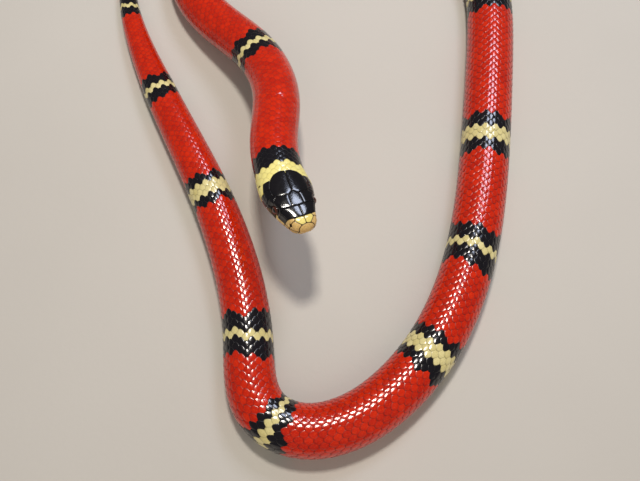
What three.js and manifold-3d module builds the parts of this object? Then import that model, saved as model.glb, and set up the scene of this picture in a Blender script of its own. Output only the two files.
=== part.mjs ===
// A young milk snake at life size, lying belly down in a loose open coil
// with its head and neck lifted. Millimetres, +Z up, the floor at z = 0.
import * as THREE from 'three';
import * as BufferGeometryUtils from 'three/addons/utils/BufferGeometryUtils.js';
import Module from 'manifold-3d';

// Plan of the backbone, snout first: handles of a smooth B-spline.
const route = [
  [-3.4, -7], [-10.6, 7], [-15, 25], [-12, 44], [-20.6, 67], [-44, 86], [-52, 115],
  [-28, 144], [15, 148], [50, 135], [62, 100], [58, 64], [54, 30], [48, -4],
  [36, -32], [19, -50], [5, -57], [-7, -58], [-17, -53], [-21, -43], [-21, -29],
  [-25, -9], [-34, 15], [-47, 40], [-60, 66], [-71, 94], [-72, 123], [-54, 144],
];
const planCentre = [-2.81, 44.1];

// Lengths along the backbone from the snout.
const headLength = 22;
const neckLength = 54;
const tailLength = 95;
const trunkCount = 9;

// The head and neck rise from the floor towards the snout.
const liftStart = -30;
const liftEnd = 125;
const liftHeight = 31;

// The head is rolled a little, its crown towards the animal's left.
const headRoll = 14;
const rollHeld = 22;
const rollGone = 90;

// Half width, height over the axis and depth under it, at lengths from the snout.
const headProfile = [
  { at: 0, side: 3.6, up: 2.5, down: 1.9 },
  { at: 2.5, side: 4.1, up: 2.9, down: 2.25 },
  { at: 5, side: 5.1, up: 3.45, down: 2.8 },
  { at: 8.5, side: 6.45, up: 4.15, down: 3.4 },
  { at: 12.5, side: 7.3, up: 4.7, down: 4.05 },
  { at: 17, side: 7.5, up: 5.2, down: 4.55 },
  { at: 22, side: 7.25, up: 5.7, down: 5.05 },
  { at: 31, side: 7.25, up: 6.25, down: 5.5 },
  { at: 46, side: 7.4, up: 6.75, down: 5.8 },
];
const noseRound = 2.8;
const backHeight = 0.93;
const bellyDepth = 0.8;
const bellyCut = 1.18;
const widestAt = 0.58;
const widestHalf = 8;
const ventHalf = 5.5;
const tipHalf = 0.5;
const tipRound = 1.5;

const mouthCorner = 14.4;
const mouthLine = [
  { at: -2, z: -1.5 }, { at: 3, z: -1.75 }, { at: 8, z: -1.45 }, { at: 14, z: -1.9 },
];
const jawGap = 0.3;
const eyeAt = 8.5;
const eyeHeight = 1.0;
const eyeInset = 1.22;
const eyeRadius = 1.4;
const jointGap = 0.3;

const bodySides = 24;
const headSides = 32;
const ringStep = 5.4;

// The four handles around a span, weighted as a uniform cubic B-spline.
function splinePoint(handles, span, t) {
  const weights = [(1 - t) ** 3, 3 * t ** 3 - 6 * t ** 2 + 4, -3 * t ** 3 + 3 * t ** 2 + 3 * t + 1, t ** 3];
  let x = 0;
  let y = 0;
  for (let i = 0; i < 4; i++) {
    x += weights[i] * handles[span + i][0] / 6;
    y += weights[i] * handles[span + i][1] / 6;
  }
  return [x, y];
}

function mirrored(end, next) {
  return [2 * end[0] - next[0], 2 * end[1] - next[1]];
}

// The backbone's plan as close points with their distance from the snout.
function planLine() {
  const last = route.length - 1;
  const handles = [mirrored(route[0], route[1]), ...route, mirrored(route[last], route[last - 1])];
  const stepsPerSpan = 80;
  const points = [];
  let distance = 0;
  for (let span = 0; span < handles.length - 3; span++) {
    for (let i = 0; i < stepsPerSpan; i++) {
      const [x, y] = splinePoint(handles, span, i / stepsPerSpan);
      const before = points[points.length - 1];
      if (before) {
        distance += Math.hypot(x - before.x, y - before.y);
      }
      points.push({ x, y, distance });
    }
  }
  return points;
}

const plan = planLine();
const bodyLength = plan[plan.length - 1].distance;
const ventAt = bodyLength - tailLength;

function planAt(distance) {
  let low = 0;
  let high = plan.length - 1;
  while (high - low > 1) {
    const middle = (low + high) >> 1;
    if (plan[middle].distance <= distance) {
      low = middle;
    } else {
      high = middle;
    }
  }
  const a = plan[low];
  const b = plan[high];
  const t = (distance - a.distance) / (b.distance - a.distance);
  return { x: a.x + (b.x - a.x) * t, y: a.y + (b.y - a.y) * t };
}

// A smooth curve through a table's rows, flat past its ends.
function tableValue(table, key, at) {
  if (at <= table[0].at) {
    return table[0][key];
  }
  for (let i = 0; i < table.length - 1; i++) {
    if (at < table[i + 1].at) {
      const a = table[i];
      const b = table[i + 1];
      const before = table[Math.max(i - 1, 0)];
      const after = table[Math.min(i + 2, table.length - 1)];
      const width = b.at - a.at;
      const slopeA = (b[key] - before[key]) / (b.at - before.at) * width;
      const slopeB = (after[key] - a[key]) / (after.at - a.at) * width;
      const t = (at - a.at) / width;
      const rise = b[key] - a[key];
      return a[key] + t * (slopeA + t * (3 * rise - 2 * slopeA - slopeB + t * (slopeA + slopeB - 2 * rise)));
    }
  }
  return table[table.length - 1][key];
}

function smooth(t) {
  const held = Math.min(Math.max(t, 0), 1);
  return held * held * (3 - 2 * held);
}

// A rounded end: nought at the tip, one from the rounding's length on.
function roundEnd(fromTip, length) {
  const left = 1 - Math.min(Math.max(fromTip / length, 0), 1);
  return (1 - left ** 2.2) ** (1 / 2.2);
}

// Half width of the body behind the neck.
function trunkHalf(at) {
  const neck = headProfile[headProfile.length - 1];
  const widest = widestAt * bodyLength;
  if (at < widest) {
    return neck.side + (widestHalf - neck.side) * smooth((at - neck.at) / (widest - neck.at));
  }
  if (at < ventAt) {
    return widestHalf + (ventHalf - widestHalf) * ((at - widest) / (ventAt - widest)) ** 2.4;
  }
  const along = (at - ventAt) / (bodyLength - ventAt);
  return ventHalf + (tipHalf - ventHalf) * along ** 0.92;
}

function girth(at) {
  const neck = headProfile[headProfile.length - 1];
  if (at < neck.at) {
    const nose = roundEnd(at, noseRound);
    return {
      side: nose * tableValue(headProfile, 'side', at),
      up: nose * tableValue(headProfile, 'up', at),
      down: nose * tableValue(headProfile, 'down', at),
    };
  }
  const half = trunkHalf(at) * roundEnd(bodyLength - at, tipRound);
  return { side: half, up: half * backHeight, down: half * bellyDepth };
}

function lift(at) {
  return liftHeight * (1 - smooth((at - liftStart) / (liftEnd - liftStart)));
}

// Height of the axis over the floor: the belly's depth, plus the lift.
function axisHeight(at) {
  const neck = headProfile[headProfile.length - 1];
  const depth = at < neck.at ? neck.down : trunkHalf(at) * bellyDepth;
  return depth + lift(at);
}

// Centre, left side and up directions of the body at a length from the snout.
function frameAt(at) {
  const reach = 0.5;
  const here = planAt(at);
  const behind = planAt(at + reach);
  const ahead = planAt(at - reach);
  const along = new THREE.Vector3(behind.x - ahead.x, behind.y - ahead.y, 0).normalize();
  const slope = (lift(at + reach) - lift(at - reach)) / (2 * reach);
  const centre = new THREE.Vector3(here.x - planCentre[0], here.y - planCentre[1], axisHeight(at));
  const left = new THREE.Vector3(along.y, -along.x, 0);
  const up = new THREE.Vector3(-slope * along.x, -slope * along.y, 1).normalize();
  const headward = new THREE.Vector3().crossVectors(left, up);
  const roll = THREE.MathUtils.degToRad(headRoll) * (1 - smooth((at - rollHeld) / (rollGone - rollHeld)));
  left.applyAxisAngle(headward, -roll);
  up.applyAxisAngle(headward, -roll);
  return { centre, left, up };
}

function place(at, side, height) {
  const frame = frameAt(at);
  return frame.centre.addScaledVector(frame.left, side).addScaledVector(frame.up, height);
}

// One point of the outline of a section: round back, flat belly.
function outline(size, squareness, angle) {
  const power = 2 / squareness;
  const across = Math.sin(angle);
  const over = Math.cos(angle);
  const side = size.side * Math.sign(across) * Math.abs(across) ** power;
  if (over >= 0) {
    return [side, size.up * over ** power];
  }
  return [side, -Math.min(size.down, size.down * bellyCut * (-over) ** power)];
}

// The crown is squarer than the round body.
function squarenessAt(at) {
  return 2 + 0.5 * (1 - smooth((at - 6) / 20));
}

function ringAt(at, sides) {
  const size = girth(at);
  const points = [];
  for (let i = 0; i < sides; i++) {
    const [side, height] = outline(size, squarenessAt(at), i / sides * 2 * Math.PI);
    points.push(place(at, side, height));
  }
  return points;
}

// A closed skin over rings, with a point or a flat fan at each end.
function closedLoft(rings, firstTip, lastTip) {
  const sides = rings[0].length;
  const points = [firstTip, ...rings.flat(), lastTip];
  const lastIndex = points.length - 1;
  const index = [];
  for (let i = 0; i < sides; i++) {
    const next = (i + 1) % sides;
    index.push(0, 1 + next, 1 + i);
    for (let ring = 0; ring < rings.length - 1; ring++) {
      const a = 1 + ring * sides + i;
      const b = 1 + ring * sides + next;
      index.push(a, b, a + sides, b, b + sides, a + sides);
    }
    const base = 1 + (rings.length - 1) * sides;
    index.push(lastIndex, base + i, base + next);
  }
  const geometry = new THREE.BufferGeometry();
  geometry.setAttribute('position', new THREE.Float32BufferAttribute(points.flatMap((p) => p.toArray()), 3));
  geometry.setIndex(index);
  return geometry;
}

function middleOf(points) {
  const middle = new THREE.Vector3();
  points.forEach((point) => middle.add(point));
  return middle.divideScalar(points.length);
}

function bodyLengthGeometry(from, to) {
  const steps = Math.max(Math.round((to - from) / ringStep), 2);
  const rings = [];
  for (let i = 0; i <= steps; i++) {
    rings.push(ringAt(from + (to - from) * i / steps, bodySides));
  }
  return closedLoft(rings, middleOf(rings[0]), middleOf(rings[steps]));
}

// The last length closes on the tip of the tail, with its rings closer there.
function tailTipGeometry(from) {
  const steps = 10;
  const rings = [];
  for (let i = 0; i < steps; i++) {
    rings.push(ringAt(from + (bodyLength - from) * Math.sin(i / steps * Math.PI / 2), bodySides));
  }
  return closedLoft(rings, middleOf(rings[0]), place(bodyLength, 0, 0));
}

function wholeHeadGeometry() {
  const steps = 20;
  const back = headLength - jointGap / 2;
  const rings = [];
  for (let i = 1; i <= steps; i++) {
    rings.push(ringAt(back * (1 - Math.cos(i / steps * Math.PI / 2)), headSides));
  }
  return closedLoft(rings, place(0, 0, 0), middleOf(rings[steps - 1]));
}

// Everything under the mouth line, as far back as the corner of the mouth.
function underMouthGeometry(grow) {
  const reach = 12;
  const steps = 12;
  const from = -2;
  const to = mouthCorner + grow;
  const rings = [];
  for (let i = 0; i <= steps; i++) {
    const at = from + (to - from) * i / steps;
    const top = tableValue(mouthLine, 'z', at) + grow;
    rings.push([
      place(at, -reach, top), place(at, reach, top), place(at, reach, -reach), place(at, -reach, -reach),
    ]);
  }
  return closedLoft(rings, middleOf(rings[0]), middleOf(rings[steps]));
}

function eyeCentre(sign) {
  return place(eyeAt, sign * (girth(eyeAt).side - eyeInset), eyeHeight);
}

function eyeGeometry(sign, radius) {
  const geometry = new THREE.SphereGeometry(radius, 16, 12);
  const centre = eyeCentre(sign);
  geometry.translate(centre.x, centre.y, centre.z);
  return geometry;
}

const wasm = await Module();
wasm.setup();

function toSolid(geometry) {
  const bare = geometry.clone();
  bare.deleteAttribute('normal');
  bare.deleteAttribute('uv');
  const merged = BufferGeometryUtils.mergeVertices(bare, 1e-4);
  return new wasm.Manifold(new wasm.Mesh({
    numProp: 3,
    vertProperties: new Float32Array(merged.attributes.position.array),
    triVerts: new Uint32Array(merged.index.array),
  }));
}

function toGeometry(solid) {
  const mesh = solid.getMesh();
  const geometry = new THREE.BufferGeometry();
  geometry.setAttribute('position', new THREE.BufferAttribute(mesh.vertProperties, 3));
  geometry.setIndex(new THREE.BufferAttribute(mesh.triVerts, 1));
  return geometry;
}

const skinRed = new THREE.Color('#c42405');
const capBlack = new THREE.Color('#1b161c');
const lipYellow = new THREE.Color('#dcc877');
const eyeBlack = new THREE.Color('#0d0a0b');

const snake = new THREE.Group();

function addPart(name, geometry, color, roughness) {
  const shaded = geometry.index ? geometry.toNonIndexed() : geometry;
  shaded.deleteAttribute('normal');
  shaded.computeVertexNormals();
  const mesh = new THREE.Mesh(shaded, new THREE.MeshStandardMaterial({ color, roughness, metalness: 0 }));
  mesh.name = name;
  snake.add(mesh);
}

function addHead() {
  const whole = toSolid(wholeHeadGeometry());
  const jaw = whole.intersect(toSolid(underMouthGeometry(0)));
  const leftSocket = toSolid(eyeGeometry(1, eyeRadius + jointGap));
  const rightSocket = toSolid(eyeGeometry(-1, eyeRadius + jointGap));
  const overMouth = whole.subtract(toSolid(underMouthGeometry(jawGap)));
  const skull = overMouth.subtract(leftSocket).subtract(rightSocket);
  addPart('head', toGeometry(skull), capBlack, 0.35);
  addPart('lower_jaw', toGeometry(jaw), lipYellow, 0.4);
  addPart('eye_left', eyeGeometry(1, eyeRadius), eyeBlack, 0.1);
  addPart('eye_right', eyeGeometry(-1, eyeRadius), eyeBlack, 0.1);
}

function addLength(name, from, to) {
  addPart(name, bodyLengthGeometry(from + jointGap / 2, to - jointGap / 2), skinRed, 0.35);
}

function addBody() {
  const neckEnd = headLength + neckLength;
  addLength('neck', headLength, neckEnd);
  const trunkLength = (ventAt - neckEnd) / trunkCount;
  for (let i = 0; i < trunkCount; i++) {
    addLength(`trunk_${i + 1}`, neckEnd + i * trunkLength, neckEnd + (i + 1) * trunkLength);
  }
  const tailMiddle = ventAt + tailLength / 2;
  addLength('tail_base', ventAt, tailMiddle);
  addPart('tail_tip', tailTipGeometry(tailMiddle + jointGap / 2), skinRed, 0.35);
}

addHead();
addBody();

export default snake;
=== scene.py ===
# A young milk snake at life size, lying in an open coil with its head lifted.
# Sizes are in millimetres until a mesh is made; s is the distance from the snout
# along the back, t goes round the body: 0 mid back, 1 mid belly, + the animal's left.
import math

import bpy
import numpy as np
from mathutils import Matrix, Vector


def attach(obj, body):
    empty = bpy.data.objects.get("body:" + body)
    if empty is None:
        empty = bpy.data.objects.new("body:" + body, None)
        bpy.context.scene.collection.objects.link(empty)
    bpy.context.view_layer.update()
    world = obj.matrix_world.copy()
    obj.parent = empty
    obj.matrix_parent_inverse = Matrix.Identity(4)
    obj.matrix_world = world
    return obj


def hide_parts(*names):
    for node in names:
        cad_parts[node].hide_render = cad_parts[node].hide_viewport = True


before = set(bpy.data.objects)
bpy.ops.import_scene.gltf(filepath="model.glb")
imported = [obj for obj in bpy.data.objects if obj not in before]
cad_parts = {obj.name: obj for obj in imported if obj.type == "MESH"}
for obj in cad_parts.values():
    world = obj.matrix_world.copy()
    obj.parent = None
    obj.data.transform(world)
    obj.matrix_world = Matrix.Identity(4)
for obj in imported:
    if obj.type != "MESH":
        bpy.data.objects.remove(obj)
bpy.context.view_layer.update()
chance = np.random.default_rng(58)


# the shape of the body

body = {
    # plan of the backbone, handles of a B-spline, snout first
    "route": [
        (-3.4, -7), (-10.6, 7), (-15, 25), (-12, 44), (-20.6, 67), (-44, 86), (-52, 115),
        (-28, 144), (15, 148), (50, 135), (62, 100), (58, 64), (54, 30), (48, -4),
        (36, -32), (19, -50), (5, -57), (-7, -58), (-17, -53), (-21, -43), (-21, -29),
        (-25, -9), (-34, 15), (-47, 40), (-60, 66), (-71, 94), (-72, 123), (-54, 144),
    ],
    "planCentre": (-2.81, 44.1),
    "tailLength": 95.0,
    "liftStart": -30.0, "liftEnd": 125.0, "liftHeight": 31.0,
    "headRoll": 14.0, "rollHeld": 22.0, "rollGone": 90.0,
    # length from the snout, half width, height over the axis, depth under it
    "headProfile": np.array([
        (0, 3.6, 2.5, 1.9), (2.5, 4.1, 2.9, 2.25), (5, 5.1, 3.45, 2.8), (8.5, 6.45, 4.15, 3.4),
        (12.5, 7.3, 4.7, 4.05), (17, 7.5, 5.2, 4.55), (22, 7.25, 5.7, 5.05), (31, 7.25, 6.25, 5.5),
        (46, 7.4, 6.75, 5.8),
    ]),
    # the section: shares of its half width, and how far the head's is from round
    "backHeight": 0.93, "bellyDepth": 0.8, "bellyCut": 1.18,
    "squareness": 0.5, "squareTo": 6.0, "roundBy": 26.0,
    "noseRound": 2.8, "tipRound": 1.5, "endPower": 2.2,
    "widestAt": 0.58, "widestHalf": 8.0, "ventHalf": 5.5, "tipHalf": 0.5,
    "rearTaper": 2.4, "tailTaper": 0.92,
    "neckEnd": 76.0, "trunkLengths": 9,       # where the coat is parted
    "mouthCorner": 14.4,
    "mouthLine": np.array([(-2, -1.5), (3, -1.75), (8, -1.45), (14, -1.9)]),
    "eyeAt": 8.5, "eyeHeight": 1.0, "eyeInset": 1.22,
}


def smooth(x):
    held = np.clip(x, 0, 1)
    return held * held * (3 - 2 * held)


def unit(vectors):
    return vectors / np.maximum(np.linalg.norm(vectors, axis=-1, keepdims=True), 1e-12)


def planLine():
    handles = np.array(body["route"], float)
    first, last = 2 * handles[0] - handles[1], 2 * handles[-1] - handles[-2]
    handles = np.vstack([first, handles, last])
    steps = 80      # from one handle to the next
    t = np.arange(steps) / steps
    weights = np.stack([(1 - t) ** 3, 3 * t**3 - 6 * t**2 + 4,
                        -3 * t**3 + 3 * t**2 + 3 * t + 1, t**3], 1) / 6
    points = np.vstack([weights @ handles[i:i + 4] for i in range(len(handles) - 3)])
    distance = np.r_[0, np.cumsum(np.linalg.norm(np.diff(points, axis=0), axis=1))]
    return points - body["planCentre"], distance


planPoints, planDistance = planLine()
bodyLength = planDistance[-1]
ventAt = bodyLength - body["tailLength"]


def planAt(s):
    return np.stack([np.interp(s, planDistance, planPoints[:, i]) for i in (0, 1)], -1)


# a smooth curve through a table's rows, flat past its ends
def rowCurve(rows, column, at):
    x, v = rows[:, 0], rows[:, column]
    index = np.arange(len(x))
    before, after = np.maximum(index - 1, 0), np.minimum(index + 1, len(x) - 1)
    slope = (v[after] - v[before]) / (x[after] - x[before])
    held = np.clip(at, x[0], x[-1])
    i = np.clip(np.searchsorted(x, held, side="right") - 1, 0, len(x) - 2)
    width = x[i + 1] - x[i]
    t = (held - x[i]) / width
    rise, a, b = v[i + 1] - v[i], slope[i] * width, slope[i + 1] * width
    return v[i] + t * (a + t * (3 * rise - 2 * a - b + t * (a + b - 2 * rise)))


def roundEnd(fromTip, length):
    left = 1 - np.clip(fromTip / length, 0, 1)
    return (1 - left ** body["endPower"]) ** (1 / body["endPower"])


def trunkHalf(s):
    neckAt, neckHalf = body["headProfile"][-1, :2]
    widest = body["widestAt"] * bodyLength
    front = neckHalf + (body["widestHalf"] - neckHalf) * smooth((s - neckAt) / (widest - neckAt))
    toVent = np.clip((s - widest) / (ventAt - widest), 0, 1)
    rear = body["widestHalf"] + (body["ventHalf"] - body["widestHalf"]) * toVent ** body["rearTaper"]
    along = np.clip((s - ventAt) / body["tailLength"], 0, 1)
    tail = body["ventHalf"] + (body["tipHalf"] - body["ventHalf"]) * along ** body["tailTaper"]
    return np.where(s < widest, front, np.where(s < ventAt, rear, tail))


# half width, height and depth of the section at s
def girth(s):
    inHead = s < body["headProfile"][-1, 0]
    nose = roundEnd(s, body["noseRound"])
    half = trunkHalf(s) * roundEnd(bodyLength - s, body["tipRound"])
    trunk = (half, half * body["backHeight"], half * body["bellyDepth"])
    head = [nose * rowCurve(body["headProfile"], column, s) for column in (1, 2, 3)]
    return [np.where(inHead, *pair) for pair in zip(head, trunk)]


def liftAt(s):
    share = (s - body["liftStart"]) / (body["liftEnd"] - body["liftStart"])
    return body["liftHeight"] * (1 - smooth(share))


# centre, left, up and headward directions of the body at s
def frameAt(s):
    s = np.asarray(s, float)
    reach = 0.5     # so the two places are 1 mm apart
    along = unit(planAt(s + reach) - planAt(s - reach))
    slope = liftAt(s + reach) - liftAt(s - reach)
    neckAt, neckDepth = body["headProfile"][-1, 0], body["headProfile"][-1, 3]
    depth = np.where(s < neckAt, neckDepth, trunkHalf(s) * body["bellyDepth"])
    centre = np.concatenate([planAt(s), (depth + liftAt(s))[..., None]], -1)
    flat = np.zeros_like(s)
    left = np.stack([along[..., 1], -along[..., 0], flat], -1)
    up = unit(np.stack([-slope * along[..., 0], -slope * along[..., 1], flat + 1], -1))
    rollShare = 1 - smooth((s - body["rollHeld"]) / (body["rollGone"] - body["rollHeld"]))
    roll = np.radians(body["headRoll"]) * rollShare[..., None]
    turned = left * np.cos(roll) - up * np.sin(roll), up * np.cos(roll) + left * np.sin(roll)
    return centre, *turned, np.cross(left, up)


# half outlines, resampled to even steps round the body
def halfOutlines(s, steps):
    side, up, down = girth(s)
    fine = 241      # points on each before that
    angle = np.linspace(0, np.pi, fine)
    rounder = smooth((s - body["squareTo"]) / (body["roundBy"] - body["squareTo"]))
    power = 2 / (2 + body["squareness"] * (1 - rounder))[:, None]
    over, across = np.cos(angle), np.sin(angle)
    x = side[:, None] * np.abs(across) ** power
    high = up[:, None] * np.abs(over) ** power
    low = -np.minimum(down[:, None], down[:, None] * body["bellyCut"] * np.abs(over) ** power)
    z = np.where(over >= 0, high, low)
    length = np.cumsum(np.hypot(np.diff(x, axis=1), np.diff(z, axis=1)), axis=1)
    length = np.hstack([np.zeros((len(s), 1)), length])
    even = np.linspace(0, 1, steps + 1)
    outX, outZ = np.empty((2, len(s), steps + 1))
    for i in range(len(s)):
        share = length[i] / max(length[i, -1], 1e-9) if length[i, -1] > 1e-9 else angle / np.pi
        outX[i], outZ[i] = np.interp(even, share, x[i]), np.interp(even, share, z[i])
    return outX, outZ, length[:, -1]


def bump(distance, reach):
    return np.exp(-(distance / reach) ** 2)


headForm = {
    # swells and hollows: how far out, length from the snout, reach, height over the axis, reach
    "swells": [
        (0.42, body["eyeAt"], 2.3, 2.75, 0.6),       # brow
        (-0.3, 5.4, 1.7, 0.8, 0.9),       # hollow before the eye
        (0.18, 5.0, 2.6, 2.2, 0.45),      # ridge from the brow to the snout
        (0.3, 15.0, 3.6, 0.3, 2.4),       # jaw muscle
    ],
    # pits: depth, radius, how wide the slope is, length from the snout, height over the axis
    "orbit": (0.42, 1.5, 0.7, body["eyeAt"], body["eyeHeight"]),
    "nostril": (0.55, 0.36, 0.25, 2.7, 0.9),
    "mouthCrease": (0.34, 0.24),       # depth and reach
    "lipInset": (0.22, 0.9, 0.8),      # depth, how far under the mouth's line, reach
    "mouthFrom": (0.6, 0.5), "mouthFade": 1.2,       # its start and growth, its end past the corner
    "reliefBy": 1.2, "reliefEnd": (19.0, 5.0),       # all of it grows in here and fades from there
}


# how far the head's own folds and ridges stand from the plain section
def headRelief(s, x, z, upper):
    form = headForm
    onSide = smooth(x / np.maximum(upper, 0.1) * 2 - 0.6)
    relief = 0
    for out, atS, reachS, atZ, reachZ in form["swells"]:
        relief = relief + out * bump(s - atS, reachS) * bump(z - atZ, reachZ) * onSide
    for depth, radius, slope, atS, atZ in (form["orbit"], form["nostril"]):
        away = np.hypot(s - atS, z - atZ)
        relief -= depth * (1 - smooth((away - radius) / slope)) * onSide
    overMouth = z - rowCurve(body["mouthLine"], 1, s)
    first, grow = form["mouthFrom"]
    inMouth = smooth((s - first) / grow) * (1 - smooth((s - body["mouthCorner"]) / form["mouthFade"]))
    crease, creaseReach = form["mouthCrease"]
    hollow, hollowUnder, hollowReach = form["lipInset"]
    relief -= crease * bump(overMouth, creaseReach) * inMouth
    relief -= hollow * bump(overMouth + hollowUnder, hollowReach) * inMouth * onSide
    return relief


# where the body is measured: close together at its ends, wider between
stationSteps = {"around": 96, "noseEnd": 9.0, "noseCount": 70, "headEnd": 30.0, "headStep": 0.25,
                "trunkCount": 450, "tipLength": 6.0, "tipCount": 24}


# quarter turns that crowd the stations towards the snout or the tail's tip
def noseStations(length, count):
    return length * (1 - np.cos(np.linspace(0, np.pi / 2, count)))


def tipStations(length, count):
    return bodyLength - length * (1 - np.sin(np.linspace(0, np.pi / 2, count)))


def gradedStations():
    steps = stationSteps
    nose = noseStations(steps["noseEnd"], steps["noseCount"])
    head = np.arange(steps["noseEnd"] + steps["headStep"], steps["headEnd"], steps["headStep"])
    trunk = np.linspace(steps["headEnd"], bodyLength - steps["tipLength"], steps["trunkCount"])
    tip = tipStations(steps["tipLength"], steps["tipCount"])
    return np.concatenate([nose, head, trunk[:-1], tip])


def buildSurface():
    half = stationSteps["around"]
    stations = gradedStations()
    x, z, length = halfOutlines(stations, half)
    # once round: from mid belly on the right, over the back, to mid belly on the left
    ringX = np.hstack([-x[:, :0:-1], x[:, :-1]])
    ringZ = np.hstack([z[:, :0:-1], z[:, :-1]])
    centre, left, up, headward = frameAt(stations)
    points = centre[:, None] + ringX[..., None] * left[:, None] + ringZ[..., None] * up[:, None]

    def outward(grid):
        around = np.roll(grid, -1, 1) - np.roll(grid, 1, 1)
        normals = unit(np.cross(around, np.gradient(grid, stations, axis=0)))
        normals[0], normals[-1] = headward[0], -headward[-1]
        return normals

    normals = outward(points)
    relief = headRelief(stations[:, None], np.abs(ringX), ringZ, girth(stations)[0][:, None])
    last, fade = headForm["reliefEnd"]
    relief *= (smooth(stations / headForm["reliefBy"]) * (1 - smooth((stations - last) / fade)))[:, None]
    points = points + relief[..., None] * normals
    return {"stations": stations, "points": points, "normals": outward(points), "half": half,
            "x": x, "z": z, "halfLength": length}


surface = buildSurface()
print("body surface:", surface["points"].shape)


# a point on the body, height mm out from it
def surfaceAt(s, t, height=0.0):
    rows, count = surface["stations"], 2 * surface["half"]
    place = np.interp(s, rows, np.arange(len(rows)))
    low = np.clip(place.astype(int), 0, len(rows) - 2)
    along = (place - low)[..., None]
    turn = np.mod((t + 1) / 2, 1) * count
    a = np.floor(turn).astype(int) % count
    b, around = (a + 1) % count, (turn - np.floor(turn))[..., None]

    def mixed(grid):
        return ((1 - along) * ((1 - around) * grid[low, a] + around * grid[low, b])
                + along * ((1 - around) * grid[low + 1, a] + around * grid[low + 1, b]))

    return mixed(surface["points"]) + np.asarray(height)[..., None] * unit(mixed(surface["normals"]))


def halfLengthAt(s):
    return np.interp(s, surface["stations"], surface["halfLength"])


# places on the head, given as length and a distance read off the section there
def sectionPlace(s, value, kind):
    i = int(np.clip(np.searchsorted(surface["stations"], s), 0, len(surface["stations"]) - 1))
    x, z = surface["x"][i], surface["z"][i]
    t = np.linspace(0, 1, surface["half"] + 1)
    widest = int(np.argmax(x))
    if kind == "crown":     # mm from the midline, on top
        return s, float(np.interp(value, x[:widest + 1], t[:widest + 1]))
    if kind == "under":     # mm from the midline, underneath
        return s, float(np.interp(value, x[widest:][::-1], t[widest:][::-1]))
    return s, float(np.interp(-value, -z, t))     # flank: height over the axis


# a place on the round of the snout, by its distances from the midline and the axis
def frontPlace(side, height):
    rows = surface["stations"] < body["noseRound"]
    gap = np.hypot(surface["x"][rows] - side, surface["z"][rows] - height)
    i, j = np.unravel_index(np.argmin(gap), gap.shape)
    return float(surface["stations"][i]), j / surface["half"]


# corners of the head's plates on the left: length from the snout, then mm from the midline on the
# crown or over the axis on the flank; on the front, mm from the midline and over the axis
headPlaces = {
    "a0": ("crown", 1.15, 0), "a1": ("crown", 3.05, 0), "a2": ("crown", 6.4, 0),
    "a3": ("crown", 11.3, 0), "a4": ("crown", 17.8, 0),
    "b0": ("front", 1.3, 2.05), "b1": ("crown", 2.2, 2.55), "bs": ("crown", 2.7, 2.75),
    "b2": ("crown", 3.3, 2.5), "c1": ("flank", 4.0, 1.75), "c2": ("flank", 6.3, 1.9),
    "c3": ("crown", 6.9, 4.1), "c4": ("crown", 6.6, 1.9), "d1": ("crown", 9.6, 1.75),
    "d2": ("crown", 10.2, 1.5), "e3": ("crown", 10.7, 4.8), "p0": ("crown", 11.5, 5.3),
    "f1": ("crown", 13.5, 5.6), "f2": ("crown", 16.0, 4.8), "f3": ("crown", 17.2, 3.6),
    "f4": ("crown", 17.9, 1.6),
    "o0": ("flank", 7.39, 1.77), "o1": ("flank", 7.8, 2.15), "o2": ("flank", 8.5, 2.35),
    "o3": ("flank", 9.2, 2.15), "o4": ("flank", 9.61, 1.77), "o5": ("flank", 9.85, 1.0),
    "o6": ("flank", 9.67, 0.33), "o7": ("flank", 8.95, -0.27), "o8": ("flank", 7.95, -0.25),
    "o9": ("flank", 7.33, 0.33), "oa": ("flank", 7.15, 1.0),
    "n0": ("flank", 2.65, 1.38), "n1": ("flank", 2.27, 1.16), "n2": ("flank", 2.27, 0.66),
    "n3": ("flank", 2.65, 0.44), "n4": ("flank", 3.03, 0.66), "n5": ("flank", 3.03, 1.16),
    "m0": ("front", 2.0, 0.0), "m1": ("flank", 2.75, -0.3), "m2": ("flank", 4.25, -0.1),
    "m3": ("flank", 6.3, -0.05), "q0": ("flank", 11.3, 0.0), "q1": ("flank", 13.8, 0.05),
    "q2": ("flank", 15.5, -0.5), "u1": ("flank", 11.2, 1.25), "u2": ("flank", 13.7, 1.75),
    "u3": ("flank", 16.1, 2.75), "u4": ("flank", 16.3, 0.9), "u5": ("flank", 16.2, -0.8),
}
# lip joints by length, the lower lips' inner corners, and how many pale lower lips there are
lipPlaces = {"upper": (1.05, 2.7, 4.5, 6.6, 8.7, 11.0, 13.2, 15.3),
             "lower": (1.25, 2.6, 4.2, 5.9, 7.7, 9.7, 11.6, 13.4, 15.2),
             "innerLower": ((2.3, 0.9), (3.3, 1.9), (4.6, 2.75), (6.1, 3.35), (7.9, 3.9), (9.8, 4.3),
                            (11.7, 4.7), (13.5, 5.0), (15.2, 5.2)),
             "lipGap": 0.1, "paleLower": 5, "rostralUnder": (1.15, 1.0)}

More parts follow.
